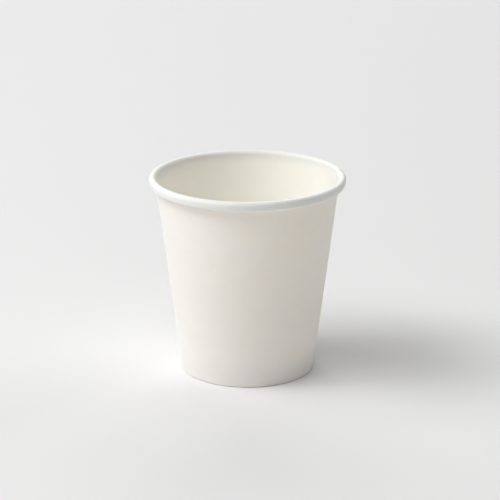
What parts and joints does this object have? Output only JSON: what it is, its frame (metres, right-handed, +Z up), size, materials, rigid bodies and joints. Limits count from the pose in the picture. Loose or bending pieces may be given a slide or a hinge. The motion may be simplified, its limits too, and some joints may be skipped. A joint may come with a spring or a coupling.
{
  "type": "paper coffee cup",
  "caption": "Small white paper coffee cup with a rolled rim, a tapered wall with a lapped side seam, and a recessed bottom disc held in a folded foot.",
  "frame": {"origin": "centre of the foot, on the surface that the cup stands on", "axes": "+Z up along the cup's axis, +Y away from the viewer, +X to the right; the side seam is at 15 degrees from +X towards +Y"},
  "size_m": [0.062, 0.062, 0.0634],
  "materials": {
    "wall_board": "uncoated white paperboard outside, smooth film inside",
    "bottom_board": "uncoated white paperboard below, smooth film above"
  },
  "bodies": {
    "root": {"sidewall": "wall_board", "bottom_disc": "bottom_board"}
  },
  "joints": []
}
